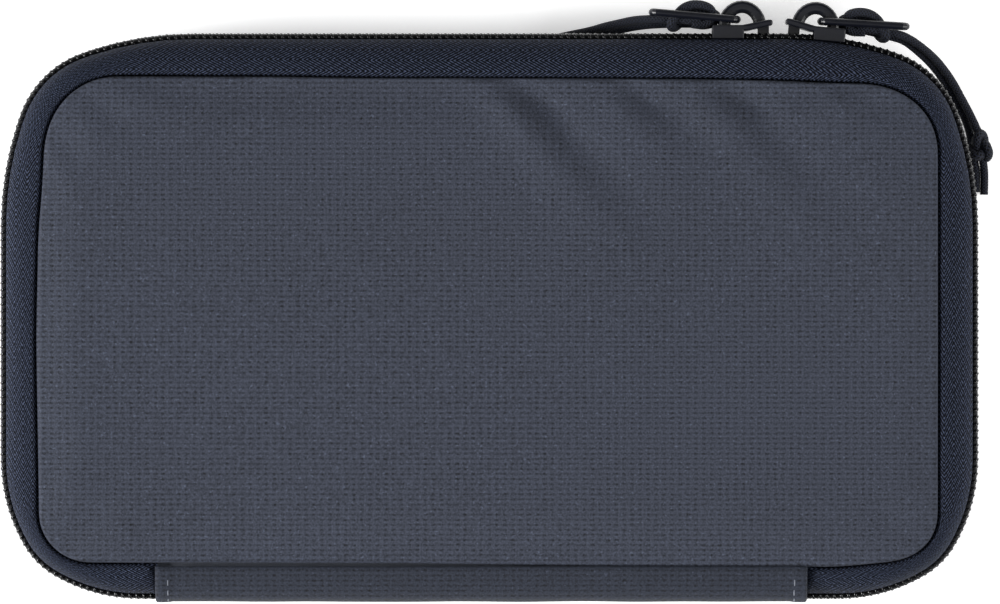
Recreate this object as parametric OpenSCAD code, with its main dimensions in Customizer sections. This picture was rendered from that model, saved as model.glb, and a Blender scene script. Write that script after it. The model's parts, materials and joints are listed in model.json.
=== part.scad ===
// Cable organizer pouch: a clamshell case with padded panels, a coil zipper with two
// sliders, ladder-shaped ring pulls with knotted cords, and a fabric spine.
// X runs along the spine, Y from the spine to the zipper's long side, Z from the back
// panel to the front panel. The origin is the centre of the back panel's flat face.

/* [Case] */
// Width of the closed case
case_w = 240; // [220:1:260]
// Height of the closed case, from the spine to the opposite edge
case_h = 139; // [130:1:150]
// Thickness of the closed case
case_t = 28; // [28:1:34]

/* [Panels] */
// Width of the padded front and back panels
panel_w = 220.6; // [200:0.2:221]
// Height of the padded front and back panels
panel_h = 120.7; // [112:0.1:121]
// How far the panels sit below the middle of the case, towards the spine
panel_drop = 0.7; // [0:0.1:1]
// Corner radius of the panels on the zipper side
panel_top_r = 20; // [16:0.5:24]
// Corner radius of the panels on the spine side
panel_bottom_r = 13; // [11:0.5:16]

/* [Spine] */
// Width of the fabric spine
spine_w = 160; // [140:1:162]
// How far the middle of the spine sits to the right of the middle of the case
spine_shift = -2; // [-4:0.5:0]
// Height of the spine between its two fold lines
spine_rise = 14; // [14:0.5:16]

/* [Zipper] */
// Thickness of the coil, measured outwards
coil_t = 2.2; // [2:0.1:2.4]
// Width of one half of the coil
coil_w = 2.6; // [2.4:0.1:2.8]
// Gap between the two halves of the coil, where a slider's post runs
coil_gap = 1.6; // [1.6:0.1:2]
// Thickness of the zipper tape
tape_t = 0.8; // [0.6:0.1:1]
// Length of a slider's body
slider_l = 14.8; // [13:0.2:15]
// Width of a slider's body
slider_w = 9.8; // [9.6:0.2:10.4]
// Place of the left slider's middle along the zipper
left_slider_x = 62; // [50:1:62]
// Angle of the right slider on the shoulder of the corner
right_slider_turn = 5; // [4:0.5:6]

/* [Pulls] */
// Length of a pull between the middles of its end bars
pull_l = 20.8; // [18:0.2:21]
// Width of a pull between the middles of its rails
pull_w = 6.6; // [6.4:0.2:7]
// Thickness of a pull's bars
bar_d = 1.8; // [1.6:0.1:1.8]
// Angle of the left pull from its slider
left_pull_tilt = 5; // [4:0.5:6]
// Angle of the right pull from its slider
right_pull_tilt = 1.5; // [1:0.5:3]
// Thickness of the pull cord
cord_d = 2; // [1.8:0.1:2]

/* [Interior] */
// Width of the mesh pocket
pocket_w = 184; // [160:1:184]
// Height of the mesh pocket
pocket_h = 72; // [50:1:72]

/* [Hidden] */

fabric_colour = "#42464f";
tape_colour = "#23262f";
coil_colour = "#15171c";
lining_colour = "#3a3d45";
metal_colour = "#2a2e39";
cord_colour = "#1b1d24";

// A corner is three arcs: [shoulder radius, tight radius, shoulder angle]
top_corner = [80, 25, 20];
bottom_corner = [42, 21, 30];
panel_top_corner = [panel_top_r, panel_top_r, 20];
panel_bottom_corner = [panel_bottom_r, panel_bottom_r, 30];
arc_steps = 4;

mid_z = case_t/2;
top_y = case_h/2;
spine_left = spine_shift - spine_w/2;
spine_right = spine_shift + spine_w/2;
fold_low_z = mid_z - spine_rise/2;
fold_high_z = mid_z + spine_rise/2;
fold_gap = 0.3;
end_gap = 0.5;

// Levels of the front half, from the middle of the zipper to the front face
coil_low_z = mid_z + coil_gap/2;
coil_high_z = coil_low_z + coil_w;
tape_bend_z = mid_z + 4;
tape_seam_z = case_t - 1.5;
panel_z = case_t - 1.6;
foam_z = case_t - 4.2;
lining_t = 0.8;
lining_z = foam_z - lining_t;
rim_z = mid_z + 6.4;

function reversed(list) = [for (i = [len(list) - 1:-1:0]) list[i]];
function unit(v) = v/norm(v);
function mix(a, b, s) = a*(1 - s) + b*s;

// Reach of a corner along each side of its rectangle
function corner_span(c) = c[0]*(sin(c[2]) + 1 - cos(c[2])) + c[1]*(cos(c[2]) - sin(c[2]));

// Travel along the side and drop from it, at turn a into the corner
function corner_run(c, a) =
    a <= c[2] ? c[0]*sin(a)
    : a <= 90 - c[2] ? c[0]*sin(c[2]) + c[1]*(sin(a) - sin(c[2]))
    : c[0]*sin(c[2]) + c[1]*(cos(c[2]) - sin(c[2])) + c[0]*(sin(a) - cos(c[2]));
function corner_drop(c, a) =
    a <= c[2] ? c[0]*(1 - cos(a))
    : a <= 90 - c[2] ? c[0]*(1 - cos(c[2])) + c[1]*(cos(c[2]) - cos(a))
    : c[0]*(1 - cos(c[2])) + c[1]*(cos(c[2]) - sin(c[2])) + c[0]*(sin(c[2]) - cos(a));
function corner_point(w, h, c, a, inset) = [
    w/2 - corner_span(c) + corner_run(c, a) - inset*sin(a),
    h/2 - corner_drop(c, a) - inset*cos(a)
];
function corner_turns(angle) = concat(
    [for (i = [0:arc_steps - 1]) angle*i/arc_steps],
    [for (i = [0:arc_steps - 1]) angle + (90 - 2*angle)*i/arc_steps],
    [for (i = [0:arc_steps]) 90 - angle + angle*i/arc_steps]
);

// A rim is [width, height, top corner, bottom corner, middle height]
case_rim = [case_w, case_h, top_corner, bottom_corner, 0];
panel_rim = [panel_w, panel_h, panel_top_corner, panel_bottom_corner, -panel_drop];
turns_top = corner_turns(top_corner[2]);
turns_bottom = corner_turns(bottom_corner[2]);

function rim_corner(rim, side_x, side_y, turns, inset) = [
    for (a = turns)
        let (p = corner_point(rim[0], rim[1], side_y > 0 ? rim[2] : rim[3], a, inset))
        [side_x*p[0], side_y*p[1] + rim[4]]
];
function rim_left(rim, inset) = concat(
    rim_corner(rim, -1, -1, turns_bottom, inset),
    reversed(rim_corner(rim, -1, 1, turns_top, inset))
);
function rim_right(rim, inset, turns = turns_top) = concat(
    rim_corner(rim, 1, 1, turns, inset),
    reversed(rim_corner(rim, 1, -1, turns_bottom, inset))
);
function rim_bottom(rim, x, inset) = [x, -rim[1]/2 + rim[4] + inset];
function rim_top(rim, x, inset) = [x, rim[1]/2 + rim[4] - inset];
function rim_loop(rim, inset) = concat(rim_left(rim, inset), rim_right(rim, inset));

// The zipper's path round the case, open at the spine
function zip_path(rim, inset) = concat(
    [rim_bottom(rim, spine_left - end_gap, inset)],
    rim_left(rim, inset),
    rim_right(rim, inset),
    [rim_bottom(rim, spine_right + end_gap, inset)]
);

// A level is [share of the way from the case's rim to the panel's rim, inset, height]
function with_height(points, z) = [for (p = points) [p[0], p[1], z]];
function level_loop(level) =
    let (outer = rim_loop(case_rim, coil_t + level[1]), inner = rim_loop(panel_rim, level[1]))
    with_height([for (i = [0:len(outer) - 1]) mix(outer[i], inner[i], level[0])], level[2]);
function level_path(level) =
    let (outer = zip_path(case_rim, coil_t + level[1]), inner = zip_path(panel_rim, level[1]))
    with_height([for (i = [0:len(outer) - 1]) mix(outer[i], inner[i], level[0])], level[2]);

// Cross-sections along a path, from one path per profile point
function sections(paths) = [for (i = [0:len(paths[0]) - 1]) [for (path = paths) path[i]]];

// Solid through loops of equal length, capped at both ends or closed into a ring
module stack(loops, ring = false) {
    n = len(loops[0]);
    last = len(loops) - 1;
    gaps = ring ? last : last - 1;
    sides = [
        for (i = [0:gaps], j = [0:n - 1])
            let (k = (i + 1)%(last + 1), m = (j + 1)%n)
            each [[i*n + j, i*n + m, k*n + m], [i*n + j, k*n + m, k*n + j]]
    ];
    caps = ring ? [] : [[for (j = [n - 1:-1:0]) j], [for (j = [0:n - 1]) last*n + j]];
    polyhedron([for (loop = loops) each loop], concat(sides, caps));
}

// Places the front half's shape on the front half, or mirrors it to the back half
module half(front) {
    if (front) {
        children();
    } else {
        translate([0, 0, case_t]) mirror([0, 0, 1]) children();
    }
}

module box(low, high) {
    translate(low) cube(high - low);
}

// Box with every edge rounded
module soft_box(low, high, r) {
    hull() {
        for (x = [low[0] + r, high[0] - r], y = [low[1] + r, high[1] - r], z = [low[2] + r, high[2] - r]) {
            translate([x, y, z]) sphere(r, $fn = 16);
        }
    }
}

// Outline extruded along X, drawn as [distance in from the spine edge, height]
module along_x(x0, x1) {
    translate([x0, -top_y, 0]) rotate([90, 0, 90]) linear_extrude(x1 - x0) children();
}

// ---- Shells: panels, foam, lining, binding, tape, coil and spine tabs ----

module panel(front) {
    edge = 0.8;
    crown = 2.5;
    color(fabric_colour) half(front) stack([
        level_loop([1, 0, panel_z]),
        level_loop([1, 0, case_t - edge]),
        level_loop([1, edge, case_t - edge/4]),
        level_loop([1, crown, case_t])
    ]);
}

module foam(front) {
    inset = 1;
    color("#8d9097") half(front) stack([
        level_loop([1, inset, foam_z]),
        level_loop([1, inset, panel_z])
    ]);
}

lining_turns = [for (i = [0:arc_steps]) 90*i/arc_steps];
lining_gap = 1.4;
lining_narrowing = 0.6;

function lining_level(a, inset, top_z) =
    [1 - cos(a), inset + lining_narrowing*sin(a), rim_z + (top_z - rim_z)*sin(a)];

module lining(front) {
    inside = [for (a = reversed(lining_turns)) lining_level(a, lining_gap + lining_t, lining_z)];
    outside = [for (a = lining_turns) lining_level(a, lining_gap, foam_z)];
    color(lining_colour) half(front) stack([for (level = concat(inside, outside)) level_loop(level)]);
}

module binding(front) {
    overlap = 0.2;
    inner = lining_gap + lining_t + overlap;
    outer = lining_gap - overlap;
    low_z = rim_z - 1.1;
    profile = [[0, outer, low_z], [0, inner, low_z], [0, inner, rim_z], [0, outer, rim_z]];
    color(tape_colour) half(front) stack([for (level = reversed(profile)) level_loop(level)], ring = true);
}

module zip_tape(front) {
    tape_turns = [for (i = [0:arc_steps]) 90*i/arc_steps];
    rise = tape_seam_z - tape_bend_z;
    outside = [for (a = tape_turns) [1 - cos(a), 0, tape_bend_z + rise*sin(a)]];
    inside = [for (a = reversed(tape_turns)) [1 - cos(a), tape_t*cos(a), tape_bend_z + (rise - tape_t)*sin(a)]];
    profile = concat([[0, 0, coil_low_z]], outside, inside, [[0, tape_t, coil_low_z]]);
    color(tape_colour) half(front) stack(sections([for (level = profile) level_path(level)]));
}

// Profile of the coil: [inset, height], with its outer edges bevelled
coil_bevel = 0.5;
coil_profile = [
    [coil_t, coil_low_z], [coil_bevel, coil_low_z], [0, coil_low_z + coil_bevel],
    [0, coil_high_z - coil_bevel], [coil_bevel, coil_high_z], [coil_t, coil_high_z]
];

module back_coil() {
    color(coil_colour) half(false) stack(sections([
        for (p = reversed(coil_profile)) with_height(zip_path(case_rim, p[0]), p[1])
    ]));
}

// The front coil is open between the sliders' closed ends, where they part the two halves
coil_break_left = left_slider_x - slider_l/2 - 1;
coil_break_turn = right_slider_turn + 7;
right_turns = concat([coil_break_turn], [for (a = turns_top) if (a > coil_break_turn + 1) a]);

module front_coil() {
    left_run = [for (p = reversed(coil_profile)) with_height(concat(
        [rim_bottom(case_rim, spine_left - end_gap, p[0])],
        rim_left(case_rim, p[0]),
        [rim_top(case_rim, coil_break_left, p[0])]
    ), p[1])];
    right_run = [for (p = reversed(coil_profile)) with_height(concat(
        rim_right(case_rim, p[0], right_turns),
        [rim_bottom(case_rim, spine_right + end_gap, p[0])]
    ), p[1])];
    color(coil_colour) {
        stack(sections(left_run));
        stack(sections(right_run));
    }
}

tab_t = 1;
panel_edge = (case_h - panel_h)/2 - panel_drop;

module spine_tab(front) {
    rise = tape_seam_z - fold_high_z;
    turns = [for (i = [0:2*arc_steps]) 90*i/(2*arc_steps)];
    outside = [for (a = turns) [panel_edge*(1 - cos(a)), fold_high_z + rise*sin(a)]];
    inside = [for (a = reversed(turns))
        [tab_t + (panel_edge - tab_t)*(1 - cos(a)), fold_high_z + (rise - tab_t)*sin(a)]];
    color(fabric_colour) half(front) along_x(spine_left, spine_right) polygon(concat(outside, inside));
}

// ---- Spine between the two fold lines ----

stiffener_t = 1.2;
spine_inset = 2;

module spine_layer(inset, depth, thickness) {
    along_x(spine_left + inset, spine_right - inset)
        translate([depth, fold_low_z + fold_gap + inset/2])
        square([thickness, spine_rise - 2*fold_gap - inset]);
}

module spine_panel() {
    color(fabric_colour) spine_layer(0, 0, tab_t);
}

module spine_stiffener() {
    color("#8d9097") spine_layer(spine_inset, tab_t, stiffener_t);
}

module spine_lining() {
    color(lining_colour) spine_layer(spine_inset/2, tab_t + stiffener_t, lining_t);
}

// ---- Sliders: drawn with the nose towards +X, the coil below and the bail above ----

plate_low = 0.5;
plate_high = 1.9;
under_low = -5.1;
under_high = -4;
flange_low = -1.6;
flange_w = 0.8;
nose_l = 6.8;
bail_span = 4.4;
bail_rise = 4.75;
bail_bar = 3.1;
bail_w = 3.2;
bail_steps = 14;
bail_sides = 16;
post_w = 1.1;

// Rounded bar section of the bail at turn t round its arch
function bail_section(t) = [
    for (i = [0:bail_sides - 1])
        let (a = 360*i/bail_sides, c = cos(a), s = sin(a), k = pow(pow(abs(c), 3) + pow(abs(s), 3), -1/3))
        [
            (bail_span + k*c*bail_bar/2)*cos(t),
            plate_high - 0.2 + (bail_rise + k*c*bail_bar/2)*sin(t),
            k*s*bail_w/2
        ]
];

module bail() {
    stack([for (i = [0:bail_steps]) bail_section(180*i/bail_steps)]);
}

module slider_body() {
    rear = -slider_l/2;
    nose = slider_l/2;
    side = slider_w/2;
    lift = 1.3;
    soft_box([rear, plate_low, -side], [nose - nose_l + 1, plate_high, side], 0.45);
    hull() {
        soft_box([nose - nose_l - 1, plate_low, -side], [nose - nose_l + 1, plate_high, side], 0.45);
        soft_box([nose - 1.6, plate_low + lift, 0.6 - side], [nose, plate_high + lift, side - 0.6], 0.45);
    }
    for (z = [-side, side - flange_w]) {
        soft_box([rear, flange_low, z], [nose - nose_l - 0.2, plate_high - 0.3, z + flange_w], 0.35);
    }
    soft_box([rear, under_low, -side], [nose, under_high, side], 0.4);
    box([nose - 3.6, under_high - 0.3, -post_w/2], [nose - 0.8, plate_low + lift + 0.2, post_w/2]);
    bail();
}

shoulder_r = top_corner[0];
shoulder_x = case_w/2 - corner_span(top_corner);

module at_left_slider() {
    translate([left_slider_x, top_y, mid_z]) children();
}

module at_right_slider() {
    translate([shoulder_x, top_y - shoulder_r, mid_z])
        rotate([0, 0, -right_slider_turn])
        translate([0, shoulder_r, 0])
        mirror([1, 0, 0])
        children();
}

module slider_left() {
    color(metal_colour) at_left_slider() slider_body();
}

module slider_right() {
    color(metal_colour) at_right_slider() slider_body();
}

// ---- Pulls: a ladder ring that hangs from the bail by its end bar, pointing to -X ----

pull_pivot = [-1.3, 3.3, 0];
pull_corner_r = 1.8;
cord_bar = 8.4;

bar_sides = 16;
bar_sleeve = 0.1;

// Cross-section of the ring's bar, at turn a round the corner centred on [x, z]
function bar_section(x, z, a) = [
    for (i = [0:bar_sides - 1])
        let (b = 360*i/bar_sides, reach = pull_corner_r + bar_d/2*cos(b))
        [x + reach*cos(a), -bar_d/2*sin(b), z + reach*sin(a)]
];
function corner_bend(x, z, start) = [for (i = [0:arc_steps]) bar_section(x, z, start + 90*i/arc_steps)];

module bar_z(x, length, d) {
    translate([x, 0, 0]) cylinder(h = length, d = d, center = true, $fn = 32);
}

module pull_body(tilt) {
    bend_z = pull_w/2 - pull_corner_r;
    near_x = -pull_corner_r;
    far_x = pull_corner_r - pull_l;
    translate(pull_pivot) rotate([0, 0, -tilt]) {
        stack(concat(
            corner_bend(near_x, bend_z, 0),
            corner_bend(far_x, bend_z, 90),
            corner_bend(far_x, -bend_z, 180),
            corner_bend(near_x, -bend_z, 270)
        ), ring = true);
        bar_z(0, 2*bend_z, bar_d + bar_sleeve);
        bar_z(-cord_bar, pull_w, bar_d - bar_sleeve);
    }
}

module pull_left() {
    color(metal_colour) at_left_slider() pull_body(left_pull_tilt);
}

module pull_right() {
    color(metal_colour) at_right_slider() pull_body(right_pull_tilt);
}

// ---- Pull cords: two strands from each pull to a knot, and on to two short tails ----

left_route_a = [
    [52, 72.5, 15], [46, 72.7, 15], [40, 72.9, 14.8], [35.7, 72.7, 13.8], [32, 72, 12], [28.3, 71.2, 10],
    [25, 70.3, 7.8], [20, 69.3, 5.2], [13, 68, 2.6], [7, 67.8, 2.4], [1, 68, 1.4]
];
left_route_b = [
    [52, 71.8, 13], [46, 71.8, 12.8], [40, 71.6, 12.4], [35.5, 71.1, 11], [31, 70.2, 9], [27, 69.4, 7],
    [23, 68.6, 4.8], [18, 67.6, 2.8], [13, 66.4, 1.4], [7, 66.2, 1.4], [2, 65.8, 1.2]
];
right_route_a = [
    [90, 70.8, 15], [98, 69.6, 15], [102, 68.6, 14], [106, 66.2, 12], [110, 62.8, 9],
    [113.5, 58.4, 6.4], [116.2, 53.8, 4.6], [118.6, 49.4, 3.4], [120.4, 45.4, 3], [121, 41.8, 2.8],
    [122, 36, 1.8], [122, 30, 1.4]
];
right_route_b = [
    [90, 70.6, 13], [98, 68.8, 12.6], [101.8, 67.6, 11.8], [105.3, 65.1, 9.8], [109, 61.7, 7],
    [112.4, 57.3, 4.6], [115.2, 52.7, 2.8], [117.4, 48.4, 1.6], [118.6, 44.6, 1.3], [119, 41, 1.6],
    [120, 36, 1.4], [120, 30.6, 1.2]
];
cord_sides = 8;

function tangent(route, i) = unit(route[min(i + 1, len(route) - 1)] - route[max(i - 1, 0)]);
function cord_ring(centre, along) =
    let (across = unit(cross([0, 0, 1], along)), up = cross(along, across))
    [for (i = [0:cord_sides - 1])
        centre + cord_d/2*(across*cos(360*i/cord_sides) + up*sin(360*i/cord_sides))];

module cord(route) {
    color(cord_colour) stack([
        for (i = [0:len(route) - 1]) reversed(cord_ring(route[i], tangent(route, i)))
    ]);
}

// Knot as a plain rounded body
module knot(centre, size, turn) {
    round_r = min(size)/2 - 0.1;
    reach = size/2 - [round_r, round_r, round_r];
    color(cord_colour) translate(centre) rotate([0, 0, turn]) hull() {
        for (x = [-reach[0], reach[0]], y = [-reach[1], reach[1]], z = [-reach[2], reach[2]]) {
            translate([x, y, z]) sphere(round_r, $fn = 20);
        }
    }
}

module knot_left() {
    knot([10, 67.4, 2.5], [9, 5, 4.6], 0);
}

module knot_right() {
    knot([121, 41.6, 2.8], [6.8, 9.2, 5.2], 0);
}

// ---- Interior: elastic loops on the back half, mesh pocket on the front half ----

pocket_t = 0.6;
pocket_low_y = -50;
pocket_low_z = mid_z + 3;
hem_h = 6;
loop_t = 0.9;
loop_foot = 3;
lining_face_z = case_t - lining_z;

module mesh_pocket() {
    half_w = pocket_w/2;
    color("#2b2d33") difference() {
        box([-half_w, pocket_low_y, pocket_low_z], [half_w, pocket_low_y + pocket_h, lining_z]);
        box([pocket_t - half_w, pocket_low_y + pocket_t, pocket_low_z + pocket_t],
            [half_w - pocket_t, pocket_low_y + pocket_h + 1, lining_z + 1]);
    }
}

module mesh_pocket_hem() {
    hem_y = pocket_low_y + pocket_h;
    color(tape_colour) box([-pocket_w/2, hem_y, pocket_low_z - 0.2], [pocket_w/2, hem_y + hem_h, pocket_low_z + 0.8]);
}

// Stitched-down elastic arch of the given chord and rise, running length along Y
module elastic_loop(x, y, chord, rise, length) {
    r = (pow(chord/2, 2) + pow(rise, 2))/(2*rise);
    color(tape_colour) translate([x, y + length/2, lining_face_z]) rotate([90, 0, 0]) linear_extrude(length) {
        intersection() {
            translate([0, rise - r]) difference() {
                circle(r, $fn = 96);
                circle(r - loop_t, $fn = 96);
            }
            translate([-chord/2, 0]) square([chord, rise]);
        }
        for (side = [-1, 1]) {
            translate([side*(chord/2 + loop_foot/2 - 0.8), loop_t/2]) square([loop_foot, loop_t], center = true);
        }
    }
}

upper_loops = 5;
upper_pitch = 36;
lower_loops = 4;
lower_pitch = 45;

module elastic_upper(i) {
    elastic_loop((i - (upper_loops - 1)/2)*upper_pitch, 30, 27, 8.5, 25);
}

module elastic_lower(i) {
    elastic_loop((i - (lower_loops - 1)/2)*lower_pitch, -28, 36, 9.5, 25);
}

panel(false);  // back_panel
foam(false);  // back_foam
lining(false);  // back_lining
binding(false);  // back_binding
zip_tape(false);  // back_zip_tape
back_coil();
spine_tab(false);  // back_spine_tab
panel(true);  // front_panel
foam(true);  // front_foam
lining(true);  // front_lining
binding(true);  // front_binding
zip_tape(true);  // front_zip_tape
front_coil();
spine_tab(true);  // front_spine_tab
spine_panel();
spine_stiffener();
spine_lining();
slider_left();
slider_right();
pull_left();
pull_right();
cord(left_route_a);  // cord_left_a
cord(left_route_b);  // cord_left_b
knot_left();
cord(right_route_a);  // cord_right_a
cord(right_route_b);  // cord_right_b
knot_right();
mesh_pocket();
mesh_pocket_hem();
for (i = [1:upper_loops]) {
    elastic_upper(i - 1);
}
for (i = [1:lower_loops]) {
    elastic_lower(i - 1);
}
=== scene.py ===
# Cable organizer pouch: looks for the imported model. Metres, in the CAD frame:
# X along the spine, Y towards the zipper's long side, Z from the back panel to the front.
import json
import math

import bpy
import numpy as np
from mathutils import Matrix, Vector, noise


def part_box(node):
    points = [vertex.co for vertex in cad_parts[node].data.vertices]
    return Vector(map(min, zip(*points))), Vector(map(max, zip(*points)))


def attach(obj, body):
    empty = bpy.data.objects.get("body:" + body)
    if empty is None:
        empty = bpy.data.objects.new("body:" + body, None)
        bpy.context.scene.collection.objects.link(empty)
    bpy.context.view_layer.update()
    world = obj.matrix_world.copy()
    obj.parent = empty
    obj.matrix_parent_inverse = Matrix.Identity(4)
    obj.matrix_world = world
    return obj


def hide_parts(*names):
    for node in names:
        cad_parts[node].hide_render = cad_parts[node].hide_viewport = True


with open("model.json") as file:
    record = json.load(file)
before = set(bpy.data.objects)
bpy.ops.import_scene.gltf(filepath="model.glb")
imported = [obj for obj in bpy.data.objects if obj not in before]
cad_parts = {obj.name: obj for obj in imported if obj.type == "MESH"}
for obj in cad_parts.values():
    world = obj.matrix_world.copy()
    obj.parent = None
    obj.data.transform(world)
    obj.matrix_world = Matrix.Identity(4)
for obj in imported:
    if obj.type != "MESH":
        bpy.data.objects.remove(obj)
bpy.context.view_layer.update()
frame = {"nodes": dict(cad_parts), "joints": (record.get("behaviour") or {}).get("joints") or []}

MM = 0.001
scene = bpy.context.scene

# ---- Sizes, from the frame ----

def node_box(node):
    return [np.array(corner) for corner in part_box(node)]


coil_low, coil_high = node_box("back_coil")
panel_low, panel_high = node_box("front_panel")
spine_low, spine_high = node_box("spine_panel")
CASE_W = coil_high[0] - coil_low[0]
CASE_H = coil_high[1] - coil_low[1]
CASE_T = panel_high[2]
MID_Z = CASE_T / 2
TOP_Y = CASE_H / 2
PANEL_W = panel_high[0] - panel_low[0]
PANEL_H = panel_high[1] - panel_low[1]
PANEL_Y = (panel_high[1] + panel_low[1]) / 2
SPINE_INSET = 0.9 * MM
SPINE_LEFT = spine_low[0] + SPINE_INSET
SPINE_RIGHT = spine_high[0] - SPINE_INSET
JOINTS = {joint["name"]: joint for joint in frame["joints"]}
FOLD_LOW_Z = JOINTS["spine_fold"]["pos_m"][2]
FOLD_HIGH_Z = JOINTS["front_fold"]["pos_m"][2]

# Corners, as in the CAD: [shoulder radius, tight radius, shoulder angle in degrees]
CASE_TOP = (80 * MM, 25 * MM, 20)
CASE_BOTTOM = (42 * MM, 21 * MM, 30)
PANEL_TOP = (20 * MM, 20 * MM, 20)
PANEL_BOTTOM = (13 * MM, 13 * MM, 30)

COIL_T = 2.2 * MM
TAPE_BEND = 4 * MM
TAPE_SEAM = 12.2 * MM
TAPE_T = 0.7 * MM
TAPE_LIP = 0.6 * MM
COIL_PITCH = 1.75 * MM
COIL_STEPS = 14
COIL_LIFT = 1.85 * MM
WIRE_R = 0.42 * MM
CORD_R = 1.0 * MM
KNOT_R = 1.15 * MM
HITCH_R = 1.12 * CORD_R
RIM_Z = MID_Z + 6.4 * MM


# ---- Outlines ----

def corner_span(corner):
    shoulder, tight, angle = corner
    s, c = math.sin(math.radians(angle)), math.cos(math.radians(angle))
    return shoulder * (s + 1 - c) + tight * (c - s)


def corner_place(corner, turn):
    """Travel along the side and drop from it, at a turn in degrees into the corner."""
    shoulder, tight, angle = corner
    s, c = math.sin(math.radians(angle)), math.cos(math.radians(angle))
    st, ct = math.sin(math.radians(turn)), math.cos(math.radians(turn))
    if turn <= angle:
        return shoulder * st, shoulder * (1 - ct)
    if turn <= 90 - angle:
        return shoulder * s + tight * (st - s), shoulder * (1 - c) + tight * (c - ct)
    run = shoulder * s + tight * (c - s) + shoulder * (st - c)
    drop = shoulder * (1 - c) + tight * (c - s) + shoulder * (s - ct)
    return run, drop


# How far the front seam wanders from a true outline, in millimetres: [place along the side], [shift].
TOP_SLACK = ((-90, -50, -30, 50, 70, 85, 100), (0.0, -0.2, -0.6, -0.8, -1.1, -1.7, -1.9))
LOW_SLACK = ((-90, -20, 40, 85, 100), (-0.1, -0.1, -1.0, -1.1, 0.3))
LEFT_SLACK = ((-45, -5, 20, 32, 44), (-0.5, -1.1, -0.6, 0.4, 0.9))


def seam_slack(rows):
    """Moves rows of x, y and direction by the seam's wandering."""
    x, y, nx, ny = rows.T
    upward, downward, leftward = (np.clip(side, 0, 1) ** 2 for side in (ny, -ny, -nx))
    rows = rows.copy()
    rows[:, 1] += (upward * np.interp(x / MM, *TOP_SLACK) + downward * np.interp(x / MM, *LOW_SLACK)) * MM
    rows[:, 0] += leftward * np.interp(y / MM, *LEFT_SLACK) * MM
    return rows


class Rim:
    """A rounded rectangle that starts at the spine's left end and goes clockwise to its right end."""

    def __init__(self, width, height, top, bottom, middle_y=0.0, slack=False):
        self.width, self.height, self.top, self.bottom = width, height, top, bottom
        self.middle_y, self.slack = middle_y, slack

    def corner(self, side_x, side_y, turns, inset):
        corner = self.top if side_y > 0 else self.bottom
        start_x = self.width / 2 - corner_span(corner)
        start_y = self.height / 2
        rows = []
        for turn in turns:
            run, drop = corner_place(corner, turn)
            nx, ny = math.sin(math.radians(turn)), math.cos(math.radians(turn))
            x = side_x * (start_x + run - inset * nx)
            y = side_y * (start_y - drop - inset * ny) + self.middle_y
            rows.append((x, y, side_x * nx, side_y * ny))
        return rows

    def points(self, inset, closed, corner_steps=20, long_steps=56, short_steps=20, end_steps=6):
        """Rows of x, y and the outward direction, the same count for every rim and inset."""
        rising = np.linspace(0, 90, corner_steps + 1)
        falling = rising[::-1]
        corners = [
            self.corner(-1, -1, rising, inset),
            self.corner(-1, 1, falling, inset),
            self.corner(1, 1, rising, inset),
            self.corner(1, -1, falling, inset),
        ]
        edge_y = -self.height / 2 + self.middle_y + inset
        start = (SPINE_LEFT, edge_y, 0.0, -1.0)
        end = (SPINE_RIGHT, edge_y, 0.0, -1.0)
        rows = straight(start, corners[0][0], end_steps)
        for k, steps in enumerate((short_steps, long_steps, short_steps)):
            rows += corners[k][:-1] + straight(corners[k][-1], corners[k + 1][0], steps)
        rows += corners[3][:-1] + straight(corners[3][-1], end, end_steps)
        if closed:
            rows += straight(end, start, long_steps)
        else:
            rows.append(end)
        return seam_slack(np.array(rows)) if self.slack else np.array(rows)


def straight(a, b, steps):
    """Rows from a up to, and without, b, with a's direction."""
    share = [i / steps for i in range(steps)]
    return [(a[0] + (b[0] - a[0]) * s, a[1] + (b[1] - a[1]) * s, b[2], b[3]) for s in share]


CASE_RIM = Rim(CASE_W, CASE_H, CASE_TOP, CASE_BOTTOM)
PANEL_RIM = Rim(PANEL_W, PANEL_H, PANEL_TOP, PANEL_BOTTOM, PANEL_Y, slack=True)


def arc_lengths(points):
    steps = np.linalg.norm(np.diff(points, axis=0), axis=1)
    return np.concatenate([[0.0], np.cumsum(steps)])


def closed_lengths(points):
    return arc_lengths(np.concatenate([points, points[:1]]))


def resample(points, spacing):
    """Evenly spaced points along an open line."""
    along = arc_lengths(points)
    count = max(2, int(round(along[-1] / spacing)) + 1)
    places = np.linspace(0, along[-1], count)
    return np.stack([np.interp(places, along, points[:, k]) for k in range(points.shape[1])], axis=1)


def smooth_line(route, spacing):
    """A smooth curve through a short list of points, evenly resampled."""
    p = np.array(route, float)
    p = np.concatenate([[2 * p[0] - p[1]], p, [2 * p[-1] - p[-2]]])
    share = np.linspace(0, 1, 13)[:-1, None]
    rows = []
    for a, b, c, d in zip(p[:-3], p[1:-2], p[2:-1], p[3:]):
        rows.append(0.5 * (2 * b + (c - a) * share + (2 * a - 5 * b + 4 * c - d) * share ** 2
                           + (3 * b - a - 3 * c + d) * share ** 3))
    return resample(np.concatenate(rows + [p[-2:-1]]), spacing)


# ---- Meshes ----

def add_mesh(name, vertices, faces, corner_uvs=None):
    mesh = bpy.data.meshes.new(name)
    mesh.from_pydata([tuple(v) for v in vertices], [], faces)
    if corner_uvs is not None:
        layer = mesh.uv_layers.new(name="weave")
        layer.data.foreach_set("uv", np.array(corner_uvs, np.float32).ravel())
    mesh.polygons.foreach_set("use_smooth", [True] * len(mesh.polygons))
    mesh.validate()
    mesh.update()
    piece = bpy.data.objects.new(name, mesh)
    scene.collection.objects.link(piece)
    return piece


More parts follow.
